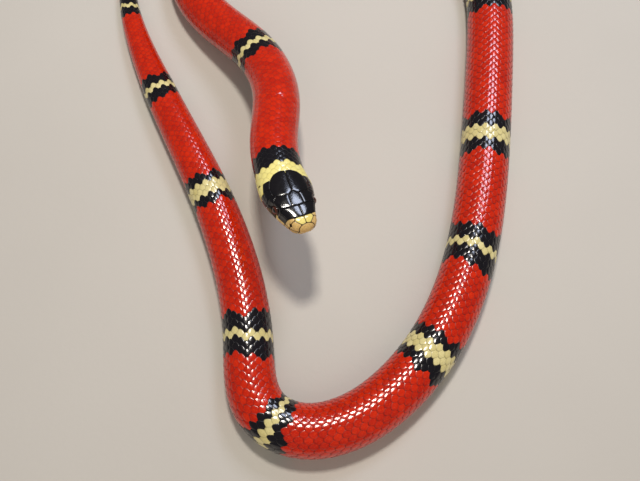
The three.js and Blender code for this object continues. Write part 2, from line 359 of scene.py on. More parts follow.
# name: colour, corners; an l is an upper and a k a lower lip joint, a g lies under the jaw
headPlates = {
    "internasal": ("snoutYellow", "a0 b0 b1 bs b2 a1"),
    "prefrontal": ("capBlack", "a1 b2 c1 c2 c3 c4 a2"),
    "supraocular": ("capBlack", "c4 c3 o1 o2 o3 e3 d2 d1"),
    "parietal": ("capBlack", "a3 d2 e3 p0 f1 f2 f3 f4 a4"),
    "prenasal": ("labialTan", "b0 b1 bs n0 n1 n2 n3 m1 m0"),
    "postnasal": ("labialTan", "bs b2 c1 m2 m1 n3 n4 n5 n0"),
    "loreal": ("capBlack", "c1 c2 m3 m2"),
    "preocular": ("capBlack", "c2 c3 o1 o0 oa o9 m3"),
    "upperPostocular": ("capBlack", "o3 e3 p0 u1 o5 o4"),
    "lowerPostocular": ("capBlack", "o5 u1 q0 o6"),
    "upperTemporal": ("capBlack", "p0 f1 u2 u1"),
    "lowerTemporal": ("capBlack", "u1 u2 q1 q0"),
    "rearTemporal1": ("capBlack", "f1 f2 u3 u2"),
    "rearTemporal2": ("napeYellow", "u2 u3 u4 q1"),
    "rearTemporal3": ("napeYellow", "q1 u4 u5 q2"),
    "upperLip1": ("labialTan", "l0 l1 m1 m0"),
    "upperLip2": ("labialTan", "l1 l2 m2 m1"),
    "upperLip3": ("labialTan", "l2 l3 o8 o9 m3 m2"),
    "upperLip4": ("labialDark", "l3 l4 o6 o7 o8"),
    "upperLip5": ("labialDark", "l4 l5 q0 o6"),
    "upperLip6": ("capBlack", "l5 l6 q1 q0"),
    "upperLip7": ("napeYellow", "l6 l7 q2 q1"),
    "chinShield": ("chinCream", "g0 k0i k1i k2i k3i g1"),
    "rearChinShield": ("chinCream", "g1 k3i g2 g3"),
}
midlinePlates = {
    "frontal": ("capBlack", "a2 c4 d1 d2 a3"),
    "mental": ("chinCream", "g4 k0 k0i g0"),
}
# length, and mm from the midline underneath, or the midline itself
chinPlaces = {"g0": (2.45, "midline"), "g1": (6.9, "midline"), "g2": (10.3, 1.7), "g3": (10.9, 0.5),
              "g4": (1.2, "midline")}


def allHeadPlaces():
    places = {}
    for name, (kind, first, second) in headPlaces.items():
        onFront = kind == "front"
        places[name] = frontPlace(first, second) if onFront else sectionPlace(first, second, kind)
    for i, s in enumerate(lipPlaces["upper"]):
        lip = float(rowCurve(body["mouthLine"], 1, np.array(s)))
        places[f"l{i}"] = sectionPlace(s, lip + lipPlaces["lipGap"], "flank")
    for i, s in enumerate(lipPlaces["lower"]):
        lip = float(rowCurve(body["mouthLine"], 1, np.array(s)))
        places[f"k{i}"] = sectionPlace(s, lip - lipPlaces["lipGap"], "flank")
        places[f"k{i}i"] = sectionPlace(*lipPlaces["innerLower"][i], "under")
    for name, (s, side) in chinPlaces.items():
        places[name] = (s, 1.0) if side == "midline" else sectionPlace(s, side, "under")
    return places


def plateCorners():
    places = allHeadPlaces()
    table = dict(headPlates)
    for i in range(len(lipPlaces["lower"]) - 1):
        colour = "chinCream" if i < lipPlaces["paleLower"] else "labialDark"
        table[f"lowerLip{i + 1}"] = (colour, f"k{i} k{i + 1} k{i + 1}i k{i}i")
    plates = {}
    for name, (colour, corners) in table.items():
        for side, sign in (("Left", 1), ("Right", -1)):
            loop = [(places[c][0], sign * places[c][1]) for c in corners.split()]
            plates[name + side] = (colour, np.array(loop))
    for name, (colour, corners) in midlinePlates.items():
        half = [places[c] for c in corners.split()]
        under = half[0][1] > 0.9        # it starts on the midline, above or below
        mirror = [(s, 2 - t if under else -t) for s, t in half[::-1] if 0.001 < abs(t) < 0.999]
        plates[name] = (colour, np.array(half + mirror))
    rostral = [places[c] for c in ("a0", "b0", "m0", "l0")] + [lipPlaces["rostralUnder"]]
    rostral += [(s, 2 - t) for s, t in rostral[-2:0:-1]]
    return plates, np.array(rostral)


# how the scales lie: rows run along the body, columns go round it
lattice = {
    "bellyEdge": 0.78,       # t where the back's scales meet the belly's
    # rows from the mid back to the belly's edge, at lengths from the snout
    "rows": np.array([(26, 10.5), (80, 10.5), (150, 11.5), (410, 11.5), (460, 10.5), (540, 10.5),
                      (575, 9.5), (592, 8.5), (687, 3.3)]),
    # mm from one column of scales to the next, at lengths from the snout
    "pitch": np.array([(0, 1.6), (25, 1.75), (50, 2.0), (140, 2.4), (520, 2.4), (592, 2.0), (687, 0.9)]),
    "throatEnd": 20.5,       # the throat's small scales end and the belly's wide ones begin
    "throatReach": 0.99,     # t that the small ones keep to, just short of the midline
    "sideRows": 13,          # at most, on each side, throat and all
    "firstScale": 6.0, "lastScale": 2.2,      # mm from the snout, mm from the tail's tip
    "tuck": 0.9, "besideSlit": 0.35,          # mm under a head plate, mm either side of the mouth
    # in rows: how near the belly's edge a scale may stand, and from how near it is a wider one
    "edgeGap": 0.15, "lowestRow": 1.2, "lowestWider": 1.12,
    "step": 0.25,            # mm between the places at which columns are counted
}
latticeS = np.arange(0, bodyLength, lattice["step"])
latticeColumn = np.cumsum(lattice["step"] / np.interp(latticeS, *lattice["pitch"].T))


def columnAt(s):
    return np.interp(s, latticeS, latticeColumn)


def columnPlace(column):
    return np.interp(column, latticeColumn, latticeS)


def rowStep(s):
    return lattice["bellyEdge"] / np.interp(s, *lattice["rows"].T)


def pitchAt(s):
    return np.interp(s, *lattice["pitch"].T)


# the markings, read once for each scale so that no scale is of two colours
marking = {
    "names": ["scarlet", "black", "cream", "napeYellow", "slate"],
    # rings: length from the snout, then in columns of scales the half width of the cream and of
    # the black, how far the right side lags, and how far slate runs on under the belly behind
    "rings": np.array([
        (72, 0.5, 2.3, 0.0, 1), (125, 0.5, 2.3, 0.5, 4), (178, 0.85, 2.6, 0.0, 2),
        (231, 0.5, 2.3, -0.5, 6), (288, 0.5, 2.6, 0.0, 3), (344, 0.85, 2.8, 0.0, 4),
        (382, 0.6, 2.7, 0.5, 2), (418.5, 0.85, 2.5, 0.0, 10), (470.5, 0.5, 1.9, 0.0, 2),
        (498, 0.5, 2.6, 0.5, 3), (548, 0.85, 2.3, 0.0, 5), (590, 0.5, 2.3, 0.0, 2),
        (628, 0.5, 2.6, 0.5, 3), (655, 0.85, 2.6, 0.0, 2), (676, 0.85, 2.6, 0.0, 1),
    ]),
    "ringShift": 0.25,       # of a column, so that odd and even rows differ and the rings zigzag
    # ragged borders: columns for the rings' black and mm for the bands of the neck
    "blackRough": 0.3, "bandRough": 0.25, "roughRows": 41,
    # how much wider the black grows down the sides, and over which t
    "blackSpread": 1.0, "spreadFrom": 0.4, "spreadOver": 0.35,
    # ends of the black cap, the nape band and the collar: mm on the mid back, mm forward on the sides
    "capEnd": (17.3, 4.6), "napeEnd": (20.8, 1.2), "collarEnd": (26.4, 1.4),
    "sweepBy": 0.62, "sweepPower": 1.3, "capLowest": 0.7,
}
scarlet, black, cream, napeYellow, slate, mouth = range(6)        # places in the lists of materials
# three for each ring and row of scales: for the border behind, the one ahead, and one to spare
ringRough = chance.uniform(-1, 1, (len(marking["rings"]), marking["roughRows"], 3))


def markAt(s, t):
    column, side = columnAt(s), np.abs(t)
    row = np.rint(t / rowStep(s)).astype(int)
    at, creamHalf, blackHalf, lag, slateRun = marking["rings"].T
    rings = np.floor(columnAt(at)) + marking["ringShift"]
    nearest = np.argmin(np.abs(column[:, None] - rings), axis=1)
    onRight = t < -0.01
    away = column - rings[nearest] - lag[nearest] * onRight
    rough = ringRough[nearest, np.clip(row + marking["roughRows"] // 2, 0, marking["roughRows"] - 1)]
    reach = blackHalf[nearest] + marking["blackRough"] * np.where(away > 0, rough[:, 0], rough[:, 1])
    reach += marking["blackSpread"] * smooth((side - marking["spreadFrom"]) / marking["spreadOver"])
    inBelly = side > lattice["bellyEdge"]
    mark = np.where(inBelly & (away > 0) & (away < reach + slateRun[nearest]), slate, scarlet)
    mark = np.where(np.abs(away) < reach, np.where(inBelly, slate, black), mark)
    mark = np.where(np.abs(away) < creamHalf[nearest], cream, mark)
    forward = smooth(side / marking["sweepBy"]) ** marking["sweepPower"]
    for key, colour in (("collarEnd", black), ("napeEnd", napeYellow), ("capEnd", black)):
        end, sweep = marking[key]
        before = s + sweep * forward + marking["bandRough"] * rough[:, 0] < end
        if key == "capEnd":
            before &= side < marking["capLowest"]
        mark = np.where(before, colour, mark)
    return mark


# the mark of the scale whose cell holds each place
def cellMark(s, t):
    step = rowStep(s)
    row = np.rint(t / step)
    shift = 0.5 * (np.abs(row) % 2)
    column = np.rint(columnAt(s) - shift) + shift
    cellS = columnPlace(column)
    inBelly = np.abs(t) > lattice["bellyEdge"]
    return markAt(np.where(inBelly, s, cellS), np.where(inBelly, t, row * rowStep(cellS)))


# closed little shapes built up in rings, all of one pattern
scaleForm = {
    "around": 14, "roundness": 1.55,
    "halfLong": 0.72, "halfWide": 0.84,       # of the pitch and of the row step
    "front": -0.25, "rear": -0.02,            # height at the root and at the free end, mm
    # ring: share of the outline, how far under the top, edge darkening (on the rim and side wall: partly
    # the scale's own darker edge, partly painted shade)
    "rings": ((0.99, 0.2, 1.0), (1.0, 0.06, 1.0), (0.93, 0.012, 0.7), (0.82, 0.0, 0.1), (0.42, 0.0, 0.0)),
    "dome": 0.11,
    # a shorter scale than this half length is thinner too, but never under this share
    "fullSize": 1.9, "thinnest": 0.35,
}
bellyForm = {
    "around": 26, "roundness": 4.5, "halfLong": 0.66, "halfWide": 1.0,
    "front": -0.26, "rear": -0.03,
    "rings": ((0.995, 0.2, 1.0), (1.0, 0.06, 1.0), (0.95, 0.01, 0.7), (0.86, 0.0, 0.1), (0.68, 0.0, 0.0),
              (0.42, 0.0, 0.0)),
    "dome": 0.0,
    # t by which a scute passes the belly's edge, and a paired one's half width as a share of a whole's
    "overlap": 0.02, "pairHalf": 0.54,
}


def ringFaces(around, rings):
    i = np.arange(around)
    j = (i + 1) % around
    quads = [np.stack([r * around + i, r * around + j, (r + 1) * around + j, (r + 1) * around + i], 1)
             for r in range(rings - 1)]
    top, inner = rings * around, (rings - 1) * around
    caps = [np.stack([inner + i, inner + j, np.full(around, top)], 1),
            np.stack([j, i, np.full(around, top + 1)], 1)]
    return np.vstack(quads), np.vstack(caps)


def scalePattern(form):
    angle = -(np.arange(form["around"]) + 0.5) / form["around"] * 2 * np.pi
    power = 2 / form["roundness"]
    u = np.sign(np.cos(angle)) * np.abs(np.cos(angle)) ** power
    v = np.sign(np.sin(angle)) * np.abs(np.sin(angle)) ** power
    rows = [(u * share, v * share, under, edge, share) for share, under, edge in form["rings"]]
    rows += [(np.zeros(1), np.zeros(1), 0.0, 0.0, 0.0),
             (np.zeros(1), np.zeros(1), form["rings"][0][1], 1.0, 0.0)]
    u, v = np.concatenate([r[0] for r in rows]), np.concatenate([r[1] for r in rows])
    under = np.concatenate([np.full(len(r[0]), r[2]) for r in rows])
    edge = np.concatenate([np.full(len(r[0]), r[3]) for r in rows])
    dome = np.concatenate([np.full(len(r[0]), form["dome"] * (1 - r[4] ** 2)) for r in rows])
    return u, v, dome - under, edge


# scales of one form at centres (s, t), with each one's half length in mm and half width in t
def scaleBatch(form, s, t, halfLong, halfWide, mark, slopeRows=True):
    u, v, height, edge = scalePattern(form)
    placeS = np.clip(s[:, None] + u * halfLong[:, None], 0, bodyLength)
    rowT = t[:, None] * rowStep(placeS) / rowStep(s)[:, None] if slopeRows else t[:, None]
    placeT = rowT + v * halfWide[:, None]
    lean = form["front"] + (form["rear"] - form["front"]) * (u + 1) / 2
    size = np.clip(halfLong / scaleForm["fullSize"], scaleForm["thinnest"], 1)[:, None]
    points = surfaceAt(placeS, placeT, (lean + height) * size)
    quads, caps = ringFaces(form["around"], len(form["rings"]))
    return {"points": points, "quads": quads, "caps": caps, "edge": np.broadcast_to(edge, placeS.shape),
            "tone": np.broadcast_to(chance.uniform(0, 1, len(s))[:, None], placeS.shape), "mark": mark,
            "rootS": s, "rootT": t, "local": (u, v)}


# true where a place lies inside one of the head's plates
def insidePlates(s, t, loops):
    inside = np.zeros(len(s), bool)
    for loop in loops:
        for turn in (-2, 0, 2):
            crossings = np.zeros(len(s), int)
            for (s0, t0), (s1, t1) in zip(loop, np.roll(loop, -1, 0)):
                if t0 == t1:
                    continue
                spans = (t0 > t + turn) != (t1 > t + turn)
                crossings += spans & (s < s0 + (t + turn - t0) / (t1 - t0) * (s1 - s0))
            inside |= crossings % 2 == 1
    return inside


headCorners, rostralCorners = plateCorners()


def backScales():
    form, places = scaleForm, []
    for row in range(-lattice["sideRows"], lattice["sideRows"] + 1):
        shift = 0.5 * (abs(row) % 2)
        columns = np.arange(2, int(latticeColumn[-1])) + shift
        s = columnPlace(columns)
        t = row * rowStep(s)
        aboveBelly = lattice["bellyEdge"] - lattice["edgeGap"] * rowStep(s)
        limit = np.where(s < lattice["throatEnd"], lattice["throatReach"], aboveBelly)
        keep = (np.abs(t) < limit) & (s > lattice["firstScale"]) & (s < bodyLength - lattice["lastScale"])
        places.append(np.stack([s[keep], t[keep]], 1))
    s, t = np.vstack(places).T
    loops = [loop for _, loop in headCorners.values()]
    # a scale may tuck its root under a plate, but none may stand in the mouth's slit
    aside = lattice["besideSlit"] / halfLengthAt(s)
    inSlit = insidePlates(s, t + aside, loops) & insidePlates(s, t - aside, loops)
    outside = ~(insidePlates(s + lattice["tuck"], t, loops) | inSlit)
    s, t = s[outside], t[outside]
    lowest = np.abs(t) > lattice["bellyEdge"] - lattice["lowestRow"] * rowStep(s)
    halfWide = form["halfWide"] * rowStep(s) * np.where(lowest, lattice["lowestWider"], 1.0)
    return s, t, form["halfLong"] * pitchAt(s), halfWide


def bellyScales():
    columns = np.arange(int(np.ceil(columnAt(lattice["throatEnd"]))), int(latticeColumn[-1]) - 1)
    s = columnPlace(columns.astype(float))
    reach = 1 - lattice["bellyEdge"] + bellyForm["overlap"]
    whole, pairs = s[s < ventAt], s[s >= ventAt]
    centres = np.concatenate([whole, pairs, pairs])
    t = np.repeat([1.0, 1 - reach / 2, 1 + reach / 2], [len(whole), len(pairs), len(pairs)])
    halfWide = np.repeat([reach, reach * bellyForm["pairHalf"]], [len(whole), 2 * len(pairs)])
    return centres, t, bellyForm["halfLong"] * pitchAt(centres), halfWide


# the one pointed scale that caps the tail
spineForm = {
    "around": 16, "point": 0.05,
    # ring: mm from the tip, height, edge darkening (partly painted shade on the side wall)
    "rings": ((2.6, -0.3, 1.0), (2.6, 0.0, 1.0), (2.4, 0.05, 0.3), (1.7, 0.06, 0.0), (1.0, 0.06, 0.0),
              (0.5, 0.06, 0.0), (0.2, 0.06, 0.0)),
}


def tailSpine(mark):
    around, rings = spineForm["around"], np.array(spineForm["rings"])
    fromTip, height, edge = (np.repeat(column, around) for column in rings.T)
    t = np.tile(np.arange(around) / around * 2 - 1, len(rings))
    points = surfaceAt(bodyLength - fromTip, t, height)
    tip = surfaceAt(np.array([bodyLength]), np.zeros(1), np.array([spineForm["point"]]))
    points = np.vstack([points, tip, points[:around].mean(0)[None]])
    quads, caps = ringFaces(around, len(rings))
    rootS = bodyLength - np.append(fromTip, [0.0, fromTip[0]])
    return {"points": points[None], "quads": quads, "caps": caps,
            "edge": np.append(edge, [0.0, 1.0])[None], "tone": np.full((1, len(points)), 0.5),
            "mark": np.array([mark]), "rootS": rootS, "rootT": np.append(t, [0.0, 0.0]), "local": None}


# how a head plate is edged: corner rounding, the seam left round it, heights in mm
plateForm = {
    "step": 0.2, "roundings": 3, "seam": 0.03,
    # ring: how far in from the seam, height, edge darkening (in the seams: partly the plates' own dark
    # sutures, partly painted shade)
    "rim": ((0.0, -0.36, 1.0), (0.0, -0.1, 1.0), (0.035, -0.025, 0.8), (0.12, 0.0, 0.1)),
    "inner": (0.82, 0.6, 0.36, 0.14),       # the rest of the way to the middle
    "dome": 0.04,
}


def densified(corners, step):
    loop = []
    for a, b in zip(corners, np.roll(corners, -1, 0)):
        length = np.hypot(b[0] - a[0], (b[1] - a[1]) * halfLengthAt((a[0] + b[0]) / 2))
        count = max(int(round(length / step)), 1)
        loop.append(a + (b - a) * (np.arange(count) / count)[:, None])
    return np.vstack(loop)


def rounded(loop, times):
    for _ in range(times):
        loop = loop / 2 + (np.roll(loop, 1, 0) + np.roll(loop, -1, 0)) / 4
    return loop


# the loop moved inwards over the surface by a distance in mm
def inset(loop, distance, before, after):
    s, t = loop.T
    reach = 0.01        # mm along and a hundredth of t round, for the surface's slopes
    alongS = (surfaceAt(s + reach, t) - surfaceAt(np.maximum(s - reach, 0), t))
    alongS /= (s + reach - np.maximum(s - reach, 0))[:, None]
    alongT = (surfaceAt(s, t + reach) - surfaceAt(s, t - reach)) / (2 * reach)
    tangent = unit(surfaceAt(*after.T) - surfaceAt(*before.T))
    inward = distance * np.cross(unit(np.cross(alongT, alongS)), tangent)
    ss, st, tt = (alongS**2).sum(1), (alongS * alongT).sum(1), (alongT**2).sum(1)
    bs, bt = (alongS * inward).sum(1), (alongT * inward).sum(1)
    det = ss * tt - st**2
    return loop + np.stack([(bs * tt - bt * st) / det, (bt * ss - bs * st) / det], 1)


# one closed plate over a loop of places; polar plates hold the very tip of the snout
def plateSolid(corners, mark, polar=False):
    form = plateForm
    if polar:       # worked on a flat view of the snout's front
        dense = densified(np.vstack([corners, corners[:1] + [0, 2]]), form["step"])
        dense = dense[:np.argmax(dense[:, 1] > 2 - 1e-6)]
        angle = np.pi * dense[:, 1]
        flat = np.sqrt(dense[:, :1]) * np.stack([np.sin(angle), np.cos(angle)], 1)
        flat = rounded(flat, form["roundings"])
        turn = np.unwrap(np.arctan2(flat[:, 0], flat[:, 1])) / np.pi
        loop = np.stack([(flat**2).sum(1), turn], 1)[::-1]
        middle = np.array([0.0, 0.0])
    else:
        s, t = corners.T
        if (s * np.roll(t, -1) - np.roll(s, -1) * t).sum() > 0:
            corners = corners[::-1]
        loop = rounded(densified(corners, form["step"]), form["roundings"])
        middle = loop.mean(0)
    before, after = np.roll(loop, 1, 0), np.roll(loop, -1, 0)
    rings, heights, edges = [], [], []
    for distance, height, edge in form["rim"]:
        rings.append(inset(loop, form["seam"] + distance, before, after))
        heights.append(np.full(len(loop), height))
        edges.append(np.full(len(loop), edge))
    last = rings[-1]
    for share in form["inner"]:
        ring = last * [share**2, 1] if polar else middle + (last - middle) * share
        rings.append(ring)
        heights.append(np.full(len(loop), form["dome"] * (1 - share**2)))
        edges.append(np.zeros(len(loop)))
    places = np.vstack(rings + [middle[None], middle[None]])
    height = np.concatenate(heights + [[form["dome"]], [form["rim"][0][1]]])
    edge = np.concatenate(edges + [[0.0], [1.0]])
    quads, caps = ringFaces(len(loop), len(rings))
    points = surfaceAt(places[:, 0], places[:, 1], height)
    tone = np.full(len(places), chance.uniform(0, 1))
    return {"points": points[None], "quads": quads, "caps": caps, "edge": edge[None], "tone": tone[None],
            "mark": np.array([mark]), "rootS": places[:, 0], "rootT": places[:, 1], "local": None}


# of the unwrap's square: the border left free, and half the size of a scale's own patch
unwrapForm = {"border": 0.02, "patch": 0.0014}


# a mesh in metres from batches of like shapes, with its markings, edge darkening (partly painted shade of
# the gaps) and unwrap
def makePiece(name, batches, materials, span, nodes=()):
    points, corners, sizes, marks, edge, tone, uv = [], [], [], [], [], [], []
    border, inner = unwrapForm["border"], 1 - 2 * unwrapForm["border"]
    offset = 0
    for batch in batches:
        count, each = batch["points"].shape[:2]
        shift = offset + np.arange(count)[:, None, None] * each
        for faces in (batch["quads"], batch["caps"]):
            corners.append((faces[None] + shift).ravel())
            sizes.append(np.full(count * len(faces), faces.shape[1]))
            marks.append(np.repeat(batch["mark"], len(faces)))
        points.append(batch["points"].reshape(-1, 3))
        edge.append(batch["edge"].ravel())
        tone.append(batch["tone"].ravel())
        # the skin unwrapped to a square: length across, girth up; a scale is a small patch at its root
        u = border + inner * (batch["rootS"] - span[0]) / (span[1] - span[0])
        v = border + inner * np.mod((batch["rootT"] + 1) / 2, 1)
        if batch["local"]:
            u = u[:, None] + unwrapForm["patch"] * batch["local"][0]
            v = v[:, None] + unwrapForm["patch"] * batch["local"][1]
        uv.append(np.stack([np.ravel(u), np.ravel(v)], 1))
        offset += count * each
    points, corners, sizes = np.vstack(points) / 1000, np.concatenate(corners), np.concatenate(sizes)
    uv = np.vstack(uv)
    mesh = bpy.data.meshes.new(name)
    mesh.vertices.add(len(points))
    mesh.vertices.foreach_set("co", points.ravel())
    mesh.loops.add(len(corners))
    mesh.loops.foreach_set("vertex_index", corners)
    mesh.polygons.add(len(sizes))
    mesh.polygons.foreach_set("loop_start", np.concatenate([[0], np.cumsum(sizes)[:-1]]))
    for material in materials:
        mesh.materials.append(material)
    mesh.polygons.foreach_set("material_index", np.concatenate(marks))
    mesh.polygons.foreach_set("use_smooth", np.ones(len(sizes), bool))
    # edge: how dark a rim or side wall is coloured, partly as painted shade of the gaps; on the eyes it
    # holds the angle from the eye's axis
    for key, values in (("edge", edge), ("tone", tone)):
        layer = mesh.attributes.new(key, "FLOAT", "POINT")
        layer.data.foreach_set("value", np.concatenate(values).astype(np.float32))
    unwrap = mesh.uv_layers.new(name="OFBake")
    unwrap.data.foreach_set("uv", uv[corners].ravel())
    mesh.update(calc_edges=True)
    mesh.validate()
    piece = bpy.data.objects.new(name, mesh)
    bpy.context.collection.objects.link(piece)
    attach(piece, "root")
    if nodes:
        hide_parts(*nodes)
    return piece


# materials

def linearColour(hexCode, alpha=1.0):
    parts = [int(hexCode[i:i + 2], 16) / 255 for i in (1, 3, 5)]
    return (*(c / 12.92 if c <= 0.04045 else ((c + 0.055) / 1.055) ** 2.4 for c in parts), alpha)


def addNode(material, kind, links=None, **settings):
    node = material.node_tree.nodes.new(kind)
    for key, value in settings.items():
        setattr(node, key, value)
    for socket, value in (links or {}).items():
        if isinstance(value, bpy.types.NodeSocket):
            material.node_tree.links.new(value, node.inputs[socket])
        else:
            node.inputs[socket].default_value = value
    return node


def newMaterial(name):
    material = bpy.data.materials.new(name)
    material.use_nodes = True
    material.node_tree.nodes.clear()
    return material


# beta keratin: snake scale, grown as a thin hard sheet and worn smooth as the animal crawls, so it
# has a wet-looking gloss over a blotched coloured layer, and a duller free edge; the edge's darker
# colour is partly the keratin's own darker rim and partly painted shade of the gaps between scales
keratin = {
    "ior": 1.54, "coat": 0.2, "coatRoughness": 0.08, "wear": 0.06, "edgeRoughness": 0.4,
    "blotchSize": 1.4, "grainSize": 0.35, "bump": 0.05,       # mm; the real grain is too fine to show
    # name: middle, between, edge (partly painted shade of the gaps), mottle colour, how much of it,
    # roughness
    "scarlet": ("#CC2400", "#AA1200", "#5E0803", "#E04408", 0.45, 0.11),
    "black": ("#100C12", "#0B080D", "#060405", "#221A1E", 0.35, 0.12),
    "cream": ("#E0D49A", "#CDBF7F", "#7C7248", "#B5A767", 0.5, 0.15),
    "napeYellow": ("#EFE596", "#E8DA80", "#A8984F", "#DDCB70", 0.35, 0.15),
    "slate": ("#57515A", "#453F49", "#2A252C", "#857A78", 0.7, 0.20),
    "capBlack": ("#0E0B0F", "#0A070A", "#040303", "#1C1517", 0.35, 0.11),
    "snoutYellow": ("#EDDF88", "#DFCC70", "#5D4A24", "#C3A450", 0.5, 0.17),
    "labialTan": ("#E0C07C", "#C9A260", "#2C1E14", "#9A7445", 0.6, 0.18),
    "labialDark": ("#7A5F3E", "#3A2A20", "#0C0809", "#1F1617", 0.8, 0.17),
    "chinCream": ("#D9C994", "#C8B480", "#6B5A3A", "#A48E62", 0.5, 0.22),
}


def keratinScale(name):
    middle, between, edgeAndGapShadeColour, mottle, mottleShare, roughness = (
        linearColour(c) if isinstance(c, str) else c for c in keratin[name])
    material = newMaterial(name + "Keratin")
    place = addNode(material, "ShaderNodeTexCoord").outputs["Object"]
    edge = addNode(material, "ShaderNodeAttribute", attribute_name="edge").outputs["Fac"]
    tone = addNode(material, "ShaderNodeAttribute", attribute_name="tone").outputs["Fac"]
    blotch = addNode(material, "ShaderNodeTexNoise", {
        "Vector": place, "Scale": 1000 / keratin["blotchSize"], "Detail": 3.0,
        "Roughness": 0.6}).outputs["Fac"]
    grain = addNode(material, "ShaderNodeTexNoise", {
        "Vector": place, "Scale": 1000 / keratin["grainSize"], "Detail": 2.0}).outputs["Fac"]
    shade = addNode(material, "ShaderNodeMath", {0: tone, 1: blotch}, operation="ADD").outputs[0]
    ground = addNode(material, "ShaderNodeMix", {
        "Factor": addNode(material, "ShaderNodeMapRange", {
            "Value": shade, "From Min": 0.3, "From Max": 1.7}).outputs[0],
        "A": between, "B": middle}, data_type="RGBA")
    mottled = addNode(material, "ShaderNodeMix", {
        "Factor": addNode(material, "ShaderNodeMapRange", {
            "Value": grain, "From Min": 0.48, "From Max": 0.72, "To Max": mottleShare}).outputs[0],
        "A": ground.outputs[2], "B": mottle}, data_type="RGBA")
    # darker towards the rims and on the sides that drop under a scale or plate: partly the keratin's own
    # darker edge, partly painted shade of the gaps
    edged = addNode(material, "ShaderNodeMix", {
        "Factor": edge, "A": mottled.outputs[2], "B": edgeAndGapShadeColour}, data_type="RGBA")
    worn = addNode(material, "ShaderNodeMapRange", {
        "Value": blotch, "From Min": 0.3, "From Max": 0.7,
        "To Min": roughness, "To Max": roughness + keratin["wear"]}).outputs[0]
    rough = addNode(material, "ShaderNodeMath", {
        0: edge, 1: keratin["edgeRoughness"], 2: worn}, operation="MULTIPLY_ADD").outputs[0]
    gloss = addNode(material, "ShaderNodeMapRange", {
        "Value": edge, "To Min": keratin["coat"], "To Max": 0.0}).outputs[0]
    fine = addNode(material, "ShaderNodeBump", {
        "Height": grain, "Strength": 0.35, "Distance": keratin["bump"] / 1000}).outputs[0]
    shader = addNode(material, "ShaderNodeBsdfPrincipled", {
        "Base Color": edged.outputs[2], "Roughness": rough, "Normal": fine, "IOR": keratin["ior"],
        "Coat Weight": gloss, "Coat Roughness": keratin["coatRoughness"]})
    addNode(material, "ShaderNodeOutputMaterial", {"Surface": shader.outputs[0]})
    return material


# living skin between the scales: soft, folded and dull, so it reads as the dark net round them
softSkin = {
    "foldSize": 0.5, "foldDepth": 0.12,       # mm
    "scarlet": ("#7E1206", "#4E0904"), "black": ("#0E0A0D", "#1B1417"),
    "cream": ("#8A7C4E", "#5E5434"), "napeYellow": ("#A8964F", "#6F6136"),
    "slate": ("#2B262D", "#3A333A"), "mouth": ("#2A1A18", "#3B2622"),
}


def skinBetween(name):
    low, high = (linearColour(c) for c in softSkin[name])
    material = newMaterial(name + "Skin")
    place = addNode(material, "ShaderNodeTexCoord").outputs["Object"]
    folds = addNode(material, "ShaderNodeTexNoise", {
        "Vector": place, "Scale": 1000 / softSkin["foldSize"], "Detail": 4.0,
        "Roughness": 0.65}).outputs["Fac"]
    colour = addNode(material, "ShaderNodeMix", {"Factor": folds, "A": low, "B": high}, data_type="RGBA")
    fine = addNode(material, "ShaderNodeBump", {
        "Height": folds, "Strength": 0.6, "Distance": softSkin["foldDepth"] / 1000}).outputs[0]
    shader = addNode(material, "ShaderNodeBsdfPrincipled", {
        "Base Color": colour.outputs[2], "Roughness": 0.62, "Normal": fine, "IOR": 1.42})
    addNode(material, "ShaderNodeOutputMaterial", {"Surface": shader.outputs[0]})
    return material


scaleMaterials = [keratinScale(name) for name in marking["names"]]
skinMaterials = [skinBetween(name) for name in marking["names"] + ["mouth"]]
plateNames = ["capBlack", "snoutYellow", "labialTan", "labialDark", "chinCream", "napeYellow"]
plateMaterials = [keratinScale(name) for name in plateNames]
print("materials made")


# the skin: one closed mesh under all the scales

skin = {
    "around": 96,
    # mm under the surface: on the body, on the head, and where the one grows into the other
    "depth": 0.42, "headDepth": 0.3, "headEnd": 12.0, "bodyFrom": 31.0,
    "thinFrom": 12.0, "thinnest": 0.3,        # from the tail's tip, and the share left there
    "mouthEnd": 17.5,
    # mm between rings of points and where that changes, and how many there are at the ends
    "noseEnd": 9.0, "noseCount": 44, "headStep": 0.3, "neckAt": 24.0, "step": 1.1, "tipFrom": 5.0,
    "tipCount": 14,
}
fleshNodes = [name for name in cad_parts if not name.startswith("eye_")]


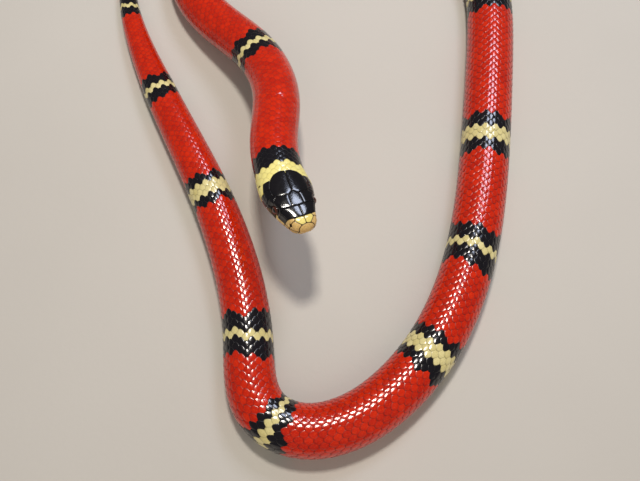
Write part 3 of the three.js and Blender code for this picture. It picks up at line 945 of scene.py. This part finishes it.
def makeSkin():
    nose = noseStations(skin["noseEnd"], skin["noseCount"])[1:]
    head = np.arange(skin["noseEnd"] + skin["headStep"], skin["neckAt"], skin["headStep"])
    trunk = np.arange(skin["neckAt"], bodyLength - skin["tipFrom"], skin["step"])
    tip = tipStations(bodyLength - trunk[-1], skin["tipCount"])[1:-1]
    stations = np.concatenate([nose, head, trunk, tip])
    around = skin["around"]
    t = np.arange(around) / around * 2 - 1
    s, t = np.meshgrid(stations, t, indexing="ij")
    deeper = smooth((s - skin["headEnd"]) / (skin["bodyFrom"] - skin["headEnd"]))
    depth = skin["headDepth"] + (skin["depth"] - skin["headDepth"]) * deeper
    depth = depth * np.clip((bodyLength - s) / skin["thinFrom"], skin["thinnest"], 1)
    points = surfaceAt(s, t, -depth).reshape(-1, 3)
    ends = surfaceAt(np.array([0.0, bodyLength]), np.zeros(2), -depth[[0, -1], 0])
    rows = len(stations)
    i, j = np.meshgrid(np.arange(rows - 1), np.arange(around), indexing="ij")
    a, b = i * around + j, i * around + (j + 1) % around
    quads = np.stack([a, b, b + around, a + around], -1).reshape(-1, 4)
    j = np.arange(around)
    k = (j + 1) % around
    last = (rows - 1) * around
    caps = np.vstack([np.stack([k, j, np.full(around, rows * around)], 1),
                      np.stack([last + j, last + k, np.full(around, rows * around + 1)], 1)])
    faceS = ((s[:-1] + s[1:]) / 2).ravel()
    faceT = (t[:-1] + 1 / around).ravel()
    mark = np.where(faceS < skin["mouthEnd"], mouth, cellMark(faceS, faceT))
    marks = np.concatenate([mark, np.full(around, mouth), np.full(around, scarlet)])
    flat = np.concatenate([s.ravel(), [0.0, bodyLength]]), np.concatenate([t.ravel(), [0.0, 0.0]])
    batch = {"points": np.vstack([points, ends])[None], "quads": quads, "caps": caps,
             "edge": np.zeros((1, rows * around + 2)), "tone": np.full((1, rows * around + 2), 0.5),
             "mark": np.zeros(1, int), "rootS": flat[0], "rootT": flat[1], "local": None}
    piece = makePiece("skin", [batch], skinMaterials, (0, bodyLength), fleshNodes)
    piece.data.polygons.foreach_set("material_index", marks)
    piece.data.update()


makeSkin()
print("skin made")


# the coat: back scales and belly scales, joined length by length

trunkStep = (ventAt - body["neckEnd"]) / body["trunkLengths"]
trunkEnds = [body["neckEnd"] + i * trunkStep for i in range(body["trunkLengths"] + 1)]
coatLengths = [("coatNeck", 0, body["neckEnd"])]
coatLengths += [(f"coatTrunk{i + 1}", *ends) for i, ends in enumerate(zip(trunkEnds, trunkEnds[1:]))]
coatLengths += [("coatTail", ventAt, bodyLength)]
unwrapMargin = 3.0       # mm past each length's ends, for the scales that overhang them


def makeCoat():
    back, belly = backScales(), bellyScales()
    for name, start, end in coatLengths:
        batches = []
        for form, (s, t, halfLong, halfWide) in ((scaleForm, back), (bellyForm, belly)):
            here = (s >= start) & (s < end)
            # a paired scute on the right has t past 1, and is marked as its twin on the left
            folded = 1 - np.abs(1 - t[here]) if form is bellyForm else t[here]
            mark = markAt(s[here], folded)
            batches.append(scaleBatch(form, s[here], t[here], halfLong[here], halfWide[here], mark,
                                      form is scaleForm))
        if end == bodyLength:
            batches.append(tailSpine(scarlet))
        span = (start - unwrapMargin, end + unwrapMargin)
        piece = makePiece(name, batches, scaleMaterials, span)
        print(name, "scales:", sum(len(b["mark"]) for b in batches), "faces:", len(piece.data.polygons))


makeCoat()


# the head's plates

plateSpan = (-1, 21)     # mm of the head over which the plates are unwrapped


def makePlates():
    upper, lower = [], []
    for name, (colour, corners) in headCorners.items():
        jaw = name.startswith(("lowerLip", "mental", "chin", "rearChin"))
        (lower if jaw else upper).append(plateSolid(corners, plateNames.index(colour)))
    upper.append(plateSolid(rostralCorners, plateNames.index("labialTan"), polar=True))
    makePiece("headPlates", upper, plateMaterials, plateSpan)
    makePiece("jawPlates", lower, plateMaterials, plateSpan)


makePlates()
print("head plates made")


# the eyes: dark iris and round pupil under the clear fixed scale that a snake has for a lid

eye = {
    "radius": 1.37, "upward": 0.12, "forward": 0.1, "around": 40, "rows": 26,
    "pupil": 0.62, "iris": 1.12, "raySize": 0.22,       # angles from the eye's axis, and mm
    "irisColour": "#5C2A18", "irisRim": "#220F0A", "pupilColour": "#050405", "whiteColour": "#1A1312",
}


def spectacleMaterial():
    material = newMaterial("spectacleGloss")
    angle = addNode(material, "ShaderNodeAttribute", attribute_name="edge").outputs["Fac"]
    place = addNode(material, "ShaderNodeTexCoord").outputs["Object"]
    rays = addNode(material, "ShaderNodeTexNoise", {
        "Vector": place, "Scale": 1000 / eye["raySize"], "Detail": 3.0}).outputs["Fac"]
    iris = addNode(material, "ShaderNodeMix", {
        "Factor": rays, "A": linearColour(eye["irisRim"]), "B": linearColour(eye["irisColour"])},
        data_type="RGBA").outputs[2]
    inPupil = addNode(material, "ShaderNodeMapRange", {
        "Value": angle, "From Min": eye["pupil"] - 0.05, "From Max": eye["pupil"] + 0.04}).outputs[0]
    inIris = addNode(material, "ShaderNodeMapRange", {
        "Value": angle, "From Min": eye["iris"] - 0.12, "From Max": eye["iris"] + 0.08}).outputs[0]
    dark = addNode(material, "ShaderNodeMix", {
        "Factor": inPupil, "A": linearColour(eye["pupilColour"]), "B": iris}, data_type="RGBA").outputs[2]
    colour = addNode(material, "ShaderNodeMix", {
        "Factor": inIris, "A": dark, "B": linearColour(eye["whiteColour"])}, data_type="RGBA").outputs[2]
    shader = addNode(material, "ShaderNodeBsdfPrincipled", {
        "Base Color": colour, "Roughness": 0.12, "IOR": 1.45, "Coat Weight": 1.0, "Coat Roughness": 0.03})
    addNode(material, "ShaderNodeOutputMaterial", {"Surface": shader.outputs[0]})
    return material


def makeEyes():
    material = spectacleMaterial()
    at = np.array([body["eyeAt"]])
    centre, left, up, headward = (v[0] for v in frameAt(at))
    side = float(girth(at)[0][0]) - body["eyeInset"]
    around, rows = eye["around"], eye["rows"]
    polar = np.linspace(0, np.pi, rows + 1)[1:-1]
    turn = np.arange(around) / around * 2 * np.pi
    for node, sign in (("eye_left", 1), ("eye_right", -1)):
        middle = centre + sign * side * left + body["eyeHeight"] * up
        outward = unit(sign * left + eye["upward"] * up + eye["forward"] * headward)
        first = unit(np.cross(up, outward))
        second = np.cross(outward, first)
        ring = np.cos(turn)[:, None] * first + np.sin(turn)[:, None] * second
        shape = [np.cos(p) * outward + np.sin(p) * ring for p in polar[::-1]]
        points = middle + eye["radius"] * np.vstack(shape + [outward[None], -outward[None]])
        quads, caps = ringFaces(around, len(polar))
        angle = np.concatenate([np.repeat(polar[::-1], around), [0.0, np.pi]])
        # unwrapped as a globe is, a little short of the square's sides
        about = np.concatenate([np.tile(turn, len(polar)), [0.0, 0.0]]) / 7
        batch = {"points": points[None], "quads": quads, "caps": caps, "edge": angle[None],
                 "tone": np.full((1, len(points)), 0.5), "mark": np.zeros(1, int),
                 "rootS": about, "rootT": angle / np.pi * 1.9 - 0.95, "local": None}
        makePiece("eyeLeft" if sign > 0 else "eyeRight", [batch], [material], (0, 1), [node])


makeEyes()
print("eyes made")


# the floor, lights and camera

studio = {
    "floor": ("#B9B4AC", "#C4BFB7"), "floorHalf": 3.0, "floorParts": 8,       # half side in m
    "unevenness": 111.0, "grain": 2.5, "grainDepth": 0.2,       # mm
    "world": ("#E9EDF2", 0.15),
    # place, aim in metres, size, power, colour
    "key": ((0.0, 0.1, 0.5), (0.0, -0.04, 0.01), 0.06, 1.8, "#FFF8EE"),
    "window": ((0.17, 0.27, 0.44), (0.0, -0.04, 0.03), 0.15, 1.0, "#DDE7FF"),
    "fill": ((0.1, -0.8, 0.6), (0.0, 0.0, 0.0), 1.3, 5.6, "#FFF4E6"),
}


def makeFloor():
    half, parts = studio["floorHalf"], studio["floorParts"]
    steps = np.linspace(-half, half, parts + 1)
    x, y = np.meshgrid(steps, steps, indexing="ij")
    points = np.stack([x.ravel(), y.ravel(), np.zeros(x.size)], 1)
    i, j = np.meshgrid(np.arange(parts), np.arange(parts), indexing="ij")
    a = (i * (parts + 1) + j).ravel()
    b = a + parts + 1
    mesh = bpy.data.meshes.new("floor")
    mesh.from_pydata(points.tolist(), [], np.stack([a, b, b + 1, a + 1], 1).tolist())
    # matt painted board: rolled on, so a faint broad unevenness and no shine
    material = newMaterial("rolledMattPaint")
    place = addNode(material, "ShaderNodeTexCoord").outputs["Object"]
    broad = addNode(material, "ShaderNodeTexNoise", {
        "Vector": place, "Scale": 1000 / studio["unevenness"], "Detail": 3.0})
    fine = addNode(material, "ShaderNodeTexNoise", {"Vector": place, "Scale": 1000 / studio["grain"]})
    colour = addNode(material, "ShaderNodeMix", {
        "Factor": broad.outputs["Fac"], "A": linearColour(studio["floor"][0]),
        "B": linearColour(studio["floor"][1])}, data_type="RGBA")
    relief = addNode(material, "ShaderNodeBump", {
        "Height": fine.outputs["Fac"], "Strength": 0.25, "Distance": studio["grainDepth"] / 1000})
    shader = addNode(material, "ShaderNodeBsdfPrincipled", {
        "Base Color": colour.outputs[2], "Roughness": 0.85, "Normal": relief.outputs[0]})
    addNode(material, "ShaderNodeOutputMaterial", {"Surface": shader.outputs[0]})
    mesh.materials.append(material)
    floor = bpy.data.objects.new("floor", mesh)
    bpy.context.collection.objects.link(floor)


def aimed(thing, place, aim):
    thing.location = place
    thing.rotation_euler = (Vector(aim) - Vector(place)).to_track_quat("-Z", "Y").to_euler()
    bpy.context.collection.objects.link(thing)
    return thing


def makeLights():
    for name in ("key", "window", "fill"):
        place, aim, size, power, colour = studio[name]
        light = bpy.data.lights.new(name, "AREA")
        light.size, light.energy, light.color = size, power, linearColour(colour)[:3]
        lamp = aimed(bpy.data.objects.new(name, light), place, aim)
        lamp.visible_glossy = name != "fill"       # a broad reflection would haze the red
    world = bpy.data.worlds.new("studioWorld")
    world.use_nodes = True
    background = world.node_tree.nodes["Background"]
    background.inputs["Color"].default_value = linearColour(studio["world"][0])
    background.inputs["Strength"].default_value = studio["world"][1]
    bpy.context.scene.world = world
    bpy.context.scene.view_settings.view_transform = "Standard"


# 40 mm lens, 70 degrees over the floor; the sensor in mm, the rest in metres
view = {"lens": 40.0, "sensor": 36.0, "nearest": 0.01,
        "elevation": 70.0, "distance": 0.221, "target": (0.00281, -0.0441, 0.007)}


def makeCamera():
    data = bpy.data.cameras.new("camera")
    data.lens, data.sensor_width, data.clip_start = view["lens"], view["sensor"], view["nearest"]
    rise = math.radians(view["elevation"])
    x, y, z = view["target"]
    place = (x, y - view["distance"] * math.cos(rise), z + view["distance"] * math.sin(rise))
    bpy.context.scene.camera = aimed(bpy.data.objects.new("camera", data), place, view["target"])


makeFloor()
makeLights()
makeCamera()
print("studio made")
